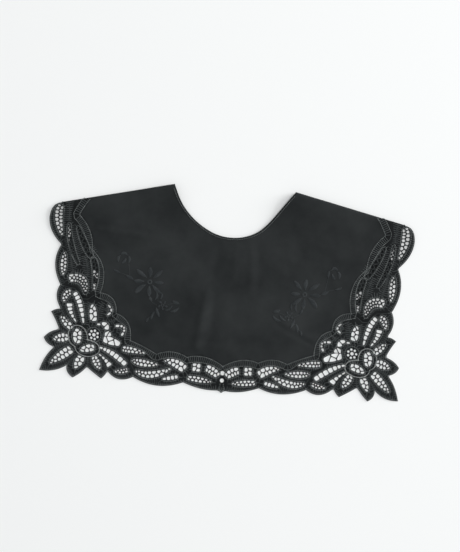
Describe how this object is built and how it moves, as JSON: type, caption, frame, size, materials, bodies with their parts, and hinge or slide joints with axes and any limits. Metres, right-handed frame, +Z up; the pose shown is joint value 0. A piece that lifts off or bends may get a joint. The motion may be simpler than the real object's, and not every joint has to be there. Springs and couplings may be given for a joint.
{
  "type": "lace collar",
  "caption": "Wide cotton garment collar edged with black tape lace, folded at the shoulders and laid flat with its front up.",
  "frame": {"origin": "middle of the bounding box, on the surface that the collar lies on", "axes": "+X towards the wearer's left end of the laid collar, +Y from the hem towards the neck, +Z up from the surface"},
  "size_m": [0.4872, 0.2734, 0.0101],
  "materials": {
    "cloth": "matte",
    "lace": "matte",
    "trim": "matte"
  },
  "bodies": {
    "root": {"front_panel": "cloth", "back_panel_left": "cloth", "back_panel_right": "cloth", "neck_binding": "trim", "lace_hem": "lace", "lace_corner_left": "lace", "lace_corner_right": "lace", "lace_side_left": "lace", "lace_side_right": "lace", "lace_back_left": "lace", "lace_back_right": "lace"}
  },
  "joints": []
}
